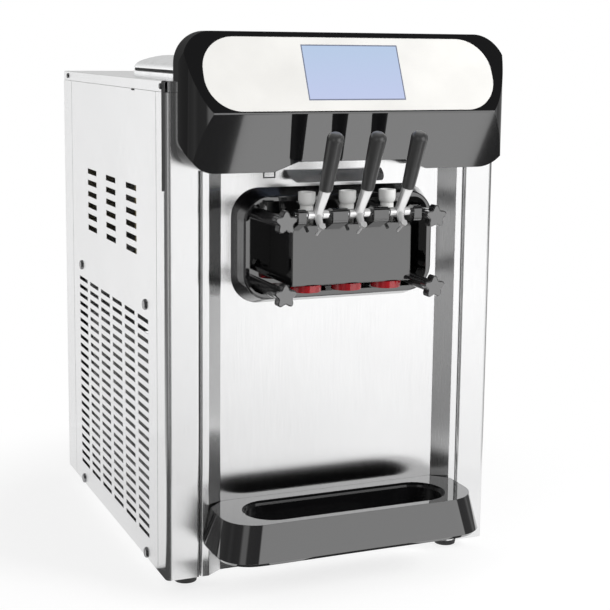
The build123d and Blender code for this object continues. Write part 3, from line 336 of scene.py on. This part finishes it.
slot_finishes = {
    "brushed_steel": brushed_steel("brushed_sheet", SHEET_COLOUR, SHEET_ROUGHNESS),
    "pressed_steel": brushed_steel("pressed_steel", (0.76, 0.765, 0.77), 0.24, grain=(1, 1, 1),
                                   brush=0.0),
    "painted_frame": satin_moulding("grey_powder_coat", (0.09, 0.09, 0.095), 0.5),
    "painted_machinery": satin_moulding("black_paint", (0.012, 0.012, 0.013), 0.4),
    "black_gloss": gloss_moulding("black_gloss", (0.006, 0.006, 0.0065)),
    "handle_black": gloss_moulding("handle_black", (0.045, 0.045, 0.045), 0.32, ior=1.5,
                                   coat_roughness=0.28),
    "fascia_white": satin_moulding("fascia_white", (0.94, 0.93, 0.90), 0.3, grain=0.02),
    "screen_blue": lit_screen(),
    "circuit_board": circuit_green(),
    "valve_white": satin_moulding("valve_white", (0.96, 0.96, 0.945), 0.3),
    "nozzle_red": red_resin(),
    "cast_aluminium": cast_metal("cast_aluminium", (0.95, 0.95, 0.95), 0.20, pits=0.2,
                                 metallic=0.55),
    "bright_steel": cast_metal("bright_steel", (0.78, 0.78, 0.785), 0.16, pits=0.1),
    "rubber_black": satin_moulding("rubber_black", (0.02, 0.02, 0.02), 0.65, grain=0.2),
    "moulded_black": satin_moulding("moulded_black", (0.018, 0.018, 0.018), 0.45),
    "foam_cream": satin_moulding("foam_cream", (0.80, 0.70, 0.45), 0.8, grain=0.5),
    "tube_white": satin_moulding("tube_white", (0.88, 0.88, 0.86), 0.3),
}

# Nodes whose finish differs from the rest of their slot.
node_finishes = {
    "front_panel": brushed_steel("recess_sheet", SHEET_COLOUR, SHEET_ROUGHNESS,
                                 coarse_band=(splay_start, splay_end)),
    "panel_screws": cast_metal("screw_steel", (0.28, 0.28, 0.285), 0.2, pits=0.1),
}
knob_black = gloss_moulding("knob_black", (0.035, 0.035, 0.036), 0.10, ior=1.8)
for corner in ("upper_left", "upper_right", "lower_left", "lower_right"):
    node_finishes["star_knob_" + corner] = knob_black


def dress_nodes():
    """Give every CAD node its own finish, or else the finish of its material slot."""
    slots = {row["node"]: row["material_slot"] for row in frame["record"]["subparts"]}
    for node, obj in frame["nodes"].items():
        finish = node_finishes.get(node, slot_finishes[slots[node]])
        obj.data.materials.clear()
        obj.data.materials.append(finish)


# ---------------------------------------------------------------- small trim
def rounded_loop(centre, half_x, half_y, radius, steps=8):
    """Points of a rounded rectangle round a centre, counter-clockwise."""
    points = []
    for quarter, (sx, sy) in enumerate(((1, 1), (-1, 1), (-1, -1), (1, -1))):
        for k in range(steps + 1):
            turn = math.pi / 2 * (quarter + k / steps)
            points.append((centre[0] + sx * (half_x - radius) + radius * math.cos(turn),
                           centre[1] + sy * (half_y - radius) + radius * math.sin(turn)))
    return points


def add_trim(name, data, slot, body):
    """Put a piece of trim in the scene, with the finish of its slot, riding on a body."""
    piece = bpy.data.objects.new(name, data)
    bpy.context.collection.objects.link(piece)
    piece.data.materials.append(slot_finishes[slot])
    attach(piece, body)


def ring_mesh(name, low, high, radius, section):
    """Closed section of (inset, z) points swept round the rounded rectangle of a box's plan."""
    centre = ((low.x + high.x) / 2, (low.y + high.y) / 2)
    half_x, half_y = (high.x - low.x) / 2, (high.y - low.y) / 2
    mesh = bpy.data.meshes.new(name)
    bm = bmesh.new()
    loops = []
    for inset, z in section:
        loop = rounded_loop(centre, half_x - inset, half_y - inset, radius - inset)
        loops.append([bm.verts.new((x, y, z)) for x, y in loop])
    count = len(loops[0])
    for one, two in zip(loops, loops[1:] + loops[:1]):
        for k in range(count):
            n = (k + 1) % count
            bm.faces.new((one[k], one[n], two[n], two[k])).smooth = True
    bmesh.ops.recalc_face_normals(bm, faces=bm.faces)
    bm.to_mesh(mesh)
    bm.free()
    return mesh


def lid_shadow_ring(side):
    """Black ring lying in the groove round a lid's rim: painted shadow, a dark band where the
    lid's edge casts shade on the collar.
    """
    lid_lip = 6 * MM
    lid_corner = 30 * MM
    low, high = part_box("hopper_lid_" + side)
    rim = low.z + lid_lip
    bulge = ((3.2, 0.3), (1.7, 0.4), (1.0, 1.3), (0.8, 2.5), (1.0, 3.7), (1.7, 4.6), (3.2, 4.7))
    section = [(inset * MM, rim + z * MM) for inset, z in bulge]
    name = "lid_shadow_ring_" + side
    # Painted shadow: the black ring stands for the shade under the lid's edge.
    add_trim(name, ring_mesh(name, low, high, lid_corner, section), "rubber_black", "lid_" + side)


def wire_loop():
    """Small square wire loop under the head's lower edge, left of the handles."""
    wire_radius = 1.2 * MM
    x, y = -127.5 * MM, front_y - 44 * MM
    half, drop, sunk = 8.5 * MM, 8 * MM, 3 * MM
    curve = bpy.data.curves.new("wire_loop", "CURVE")
    curve.dimensions = "3D"
    curve.bevel_depth = wire_radius
    curve.bevel_resolution = 4
    line = curve.splines.new("BEZIER")
    top, foot = head_low.z + sunk, head_low.z - drop
    corners = ((x - half, top), (x - half, foot), (x + half, foot), (x + half, top))
    line.bezier_points.add(len(corners) - 1)
    for point, (px, pz) in zip(line.bezier_points, corners):
        point.co = (px, y, pz)
        point.handle_left_type = point.handle_right_type = "VECTOR"
    add_trim("wire_loop", curve, "moulded_black", "cabinet")


# ---------------------------------------------------------------- studio
# Grey levels round the room, as (place, level). Places 0 and 1 are in front of the machine,
# 0.25 is on its left, 0.5 behind it and 0.75 on its right. Of the cards, the one at 0.12 shows
# in the right splay, those from 0.42 to 0.58 in the left side, and the wide one from 0.875 to
# 0.97 in the front.
CARDS = (
    (0.0, 0.12), (0.085, 0.14), (0.10, 0.66), (0.135, 0.66), (0.155, 0.14), (0.22, 0.12),
    (0.25, 0.18), (0.28, 0.12), (0.405, 0.14), (0.420, 1.5), (0.452, 1.5), (0.466, 0.8),
    (0.50, 0.80), (0.53, 0.72), (0.58, 0.72), (0.63, 0.18), (0.72, 0.14), (0.75, 0.36),
    (0.78, 0.14), (0.865, 0.16), (0.875, 1.38), (0.970, 1.38), (0.982, 0.12), (1.0, 0.12))
CEILING = (
    (0.0, 0.04), (0.15, 0.04), (0.25, 0.22), (0.44, 0.22), (0.48, 0.10), (0.50, 0.75),
    (0.62, 0.75), (0.70, 0.30), (0.84, 0.04), (1.0, 0.04))
FLOOR = (
    (0.0, 0.12), (0.09, 0.14), (0.10, 0.22), (0.135, 0.22), (0.155, 0.10), (0.21, 0.10),
    (0.26, 0.50), (0.40, 0.95), (0.47, 0.95), (0.52, 0.75), (0.60, 0.75), (0.80, 0.55),
    (0.87, 1.0), (0.970, 1.0), (0.982, 0.12), (1.0, 0.12))
UNDERFOOT = ((0.0, 0.08), (0.32, 0.08), (0.38, 0.60), (0.62, 0.60), (0.70, 0.08), (1.0, 0.08))
OVERHEAD_LEVEL = 0.44
# The head's lower face leans down, so it shows the room underfoot: a bright stretch there has
# hard ends, and a dark one follows it.
BRIGHT_UNDERFOOT, DARK_UNDERFOOT = 1.48, 0.08
BRIGHT_FROM, DARK_FROM = (0.8974, 0.8977), (0.9300, 0.9303)
# One more card stands low on the front right: its level, and its share of the view by place.
LOW_CARD_LEVEL = 1.0
LOW_CARD = ((0.0, 0.0), (0.77, 0.0), (0.80, 1.0), (0.865, 1.0), (0.875, 0.0), (1.0, 0.0))
# Heights of the view, as the sine of its elevation, over which one zone turns into the next.
FLOOR_FROM = (-0.52, -0.40)
CARDS_FROM = (-0.36, -0.16)
LOW_CARD_TO = (-0.16, -0.12)
CEILING_FROM = (0.32, 0.50)
OVERHEAD_FROM = (0.80, 0.92)

# The level at the top of a ramp, and the level that all but gloss and the camera see.
BRIGHTEST = 2.0
PLAIN_LEVEL = 0.41
LAMP_TARGET = (0, 0, 0.4)


def graded(nodes, links, value, stops, top=BRIGHTEST):
    """Greys along a 0..1 value, given as (place, level) stops, as shares of the top level."""
    ramp = nodes.new("ShaderNodeValToRGB")
    while len(ramp.color_ramp.elements) < len(stops):
        ramp.color_ramp.elements.new(0.5)
    for element, (place, level) in zip(ramp.color_ramp.elements, stops):
        element.position = place
        element.color = grey(level / top)
    links.new(value, ramp.inputs["Fac"])
    return ramp.outputs["Color"]


def level_grey(level):
    """Grey of a level, as a share of the brightest."""
    return grey(level / BRIGHTEST)


def stage_floor():
    """Pale round floor under the machine that fades into the white studio."""
    floor_radius = 0.8
    fade_start, fade_end = 0.45, 0.78
    bm = bmesh.new()
    bmesh.ops.create_circle(bm, cap_ends=True, segments=96, radius=floor_radius)
    mesh = bpy.data.meshes.new("studio_floor")
    bm.to_mesh(mesh)
    bm.free()
    floor = bpy.data.objects.new("studio_floor", mesh)
    bpy.context.collection.objects.link(floor)
    mat, nodes, links, shader = new_material("studio_floor")
    shader.inputs["Base Color"].default_value = grey(0.35)
    shader.inputs["Roughness"].default_value = 1.0
    shader.inputs["Specular IOR Level"].default_value = 0.0
    shader.inputs["Emission Color"].default_value = grey(1)
    shader.inputs["Emission Strength"].default_value = 0.75
    white = nodes.new("ShaderNodeEmission")
    reach = nodes.new("ShaderNodeVectorMath")
    reach.operation = "LENGTH"
    links.new(object_coordinates(nodes, links), reach.inputs[0])
    outer = fade(nodes, links, reach.outputs["Value"], fade_start, fade_end)
    mixed = either(nodes, links, outer, shader.outputs["BSDF"], white.outputs["Emission"])
    links.new(mixed, nodes["Material Output"].inputs["Surface"])
    floor.data.materials.append(mat)


def studio_room(nodes, links):
    """What gloss sees: light cards between dark ones, over a pale floor, under a dim ceiling."""
    where = nodes.new("ShaderNodeTexCoord")
    view = separate(nodes, links, where.outputs["Generated"])
    height = view["Z"]
    turn = nodes.new("ShaderNodeMapRange")
    turn.inputs["From Min"].default_value = -math.pi
    turn.inputs["From Max"].default_value = math.pi
    links.new(calculate(nodes, links, "ARCTAN2", view["X"], view["Y"]), turn.inputs["Value"])
    place = turn.outputs["Result"]
    cards, ceiling, floor, underfoot = (
        graded(nodes, links, place, stops) for stops in (CARDS, CEILING, FLOOR, UNDERFOOT))
    underfoot = blended(nodes, links, fade(nodes, links, place, *BRIGHT_FROM), underfoot,
                        level_grey(BRIGHT_UNDERFOOT))
    underfoot = blended(nodes, links, fade(nodes, links, place, *DARK_FROM), underfoot,
                        level_grey(DARK_UNDERFOOT))
    low_card = blended(nodes, links, fade(nodes, links, height, *LOW_CARD_TO),
                       graded(nodes, links, place, LOW_CARD, top=1.0), grey(0))
    cards = blended(nodes, links, low_card, cards, level_grey(LOW_CARD_LEVEL))
    room = blended(nodes, links, fade(nodes, links, height, *FLOOR_FROM), underfoot, floor)
    room = blended(nodes, links, fade(nodes, links, height, *CARDS_FROM), room, cards)
    upper = blended(nodes, links, fade(nodes, links, height, *OVERHEAD_FROM), ceiling,
                    level_grey(OVERHEAD_LEVEL))
    return blended(nodes, links, fade(nodes, links, height, *CEILING_FROM), room, upper)


def studio_world():
    """White to the camera, the studio room to gloss, and plain light to all else."""
    world = bpy.data.worlds.new("studio")
    world.use_nodes = True
    bpy.context.scene.world = world
    nodes, links = world.node_tree.nodes, world.node_tree.links
    nodes.clear()
    out = nodes.new("ShaderNodeOutputWorld")
    path = nodes.new("ShaderNodeLightPath")
    plain = background(nodes, links, grey(1), PLAIN_LEVEL)
    room = background(nodes, links, studio_room(nodes, links), BRIGHTEST)
    white = background(nodes, links, grey(1), 1.0)
    inside = either(nodes, links, path.outputs["Is Glossy Ray"], plain, room)
    final = either(nodes, links, path.outputs["Is Camera Ray"], inside, white)
    links.new(final, out.inputs["Surface"])


def black_flag(name, x0, x1, z0, z1, y):
    """Black studio card that only reflections see, standing parallel to the machine's front."""
    mesh = bpy.data.meshes.new(name)
    mesh.from_pydata([(x0, y, z0), (x1, y, z0), (x1, y, z1), (x0, y, z1)], [], [(0, 1, 2, 3)])
    card = bpy.data.objects.new(name, mesh)
    bpy.context.collection.objects.link(card)
    mat, nodes, links, shader = new_material(name)
    shader.inputs["Base Color"].default_value = grey(0.01)
    shader.inputs["Roughness"].default_value = 1.0
    shader.inputs["Specular IOR Level"].default_value = 0.0
    shader.inputs["Emission Color"].default_value = grey(1)
    shader.inputs["Emission Strength"].default_value = 0.06
    card.data.materials.append(mat)
    card.visible_camera = False
    card.visible_diffuse = False
    card.visible_shadow = False
    card.visible_transmission = False
    return card


def floor_flag(name, x0, x1, y0, y1):
    """Black studio card that only reflections see, lying just over the floor."""
    card = black_flag(name, x0, x1, y0, y1, 0)
    card.location = (0, 0, 2 * MM)
    card.rotation_euler = (-math.pi / 2, 0, 0)


def black_flags():
    """Cards beside the head, over it, and on the floor left of the tray; under the tray a painted
    shadow, a black card that reflections see in place of the tray's shade.
    """
    flag_left = head_low.x - 0.16
    flag_top = head_high.z + 0.06
    black_flag("side_flag", flag_left, head_low.x - 4 * MM, head_low.z - 0.03, flag_top,
               front_y + 18 * MM)
    black_flag("top_flag", flag_left, head_high.x + 0.08, head_high.z - 56 * MM, flag_top,
               front_y + 15 * MM)
    tray_gap, tray_inset = 50 * MM, 5 * MM
    floor_flag("floor_flag", -0.85, tray_low.x - tray_gap, front_y - 0.56, front_y + 0.10)
    # Painted shadow: a black card under the tray, seen only in reflections, in place of the
    # tray's shade on the floor.
    floor_flag("tray_shadow_flag", tray_low.x + tray_inset, tray_high.x - tray_inset,
               tray_low.y + tray_inset, front_y - 2 * MM)


def softbox(name, place, size, power):
    """Square area lamp aimed at the machine's middle, unseen in reflections."""
    data = bpy.data.lights.new(name, "AREA")
    data.shape = "SQUARE"
    data.size = size
    data.energy = power
    lamp = bpy.data.objects.new(name, data)
    bpy.context.collection.objects.link(lamp)
    lamp.location = place
    lamp.visible_glossy = False
    aim = Vector(LAMP_TARGET) - Vector(place)
    lamp.rotation_euler = aim.to_track_quat("-Z", "Y").to_euler()


def photograph_camera():
    """Camera at the photograph's place: front left of the machine, about as high as its top."""
    place = (-0.8521, front_y - 1.8947, 0.8204)
    yaw, pitch, roll = 0.3997, 0.1522, 0.0113
    data = bpy.data.cameras.new("camera")
    camera = bpy.data.objects.new("camera", data)
    bpy.context.collection.objects.link(camera)
    data.sensor_width = 36.0
    data.lens = 81.62
    data.shift_y = -0.083
    ahead = Vector((math.sin(yaw) * math.cos(pitch), math.cos(yaw) * math.cos(pitch),
                    -math.sin(pitch)))
    right = Vector((math.cos(yaw), -math.sin(yaw), 0))
    up = right.cross(ahead)
    right, up = (math.cos(roll) * right + math.sin(roll) * up,
                 math.cos(roll) * up - math.sin(roll) * right)
    spin = Matrix((right, up, -ahead)).transposed()
    camera.matrix_world = Matrix.Translation(place) @ spin.to_4x4()
    bpy.context.scene.camera = camera


dress_nodes()
for side in ("left", "right"):
    lid_shadow_ring(side)
wire_loop()
stage_floor()
studio_world()
black_flags()
softbox("key", place=(2.2, -2.4, 1.7), size=1.4, power=80)
softbox("fill", place=(-2.4, -1.4, 1.8), size=1.6, power=14)
photograph_camera()
bpy.context.scene.view_settings.view_transform = "Standard"
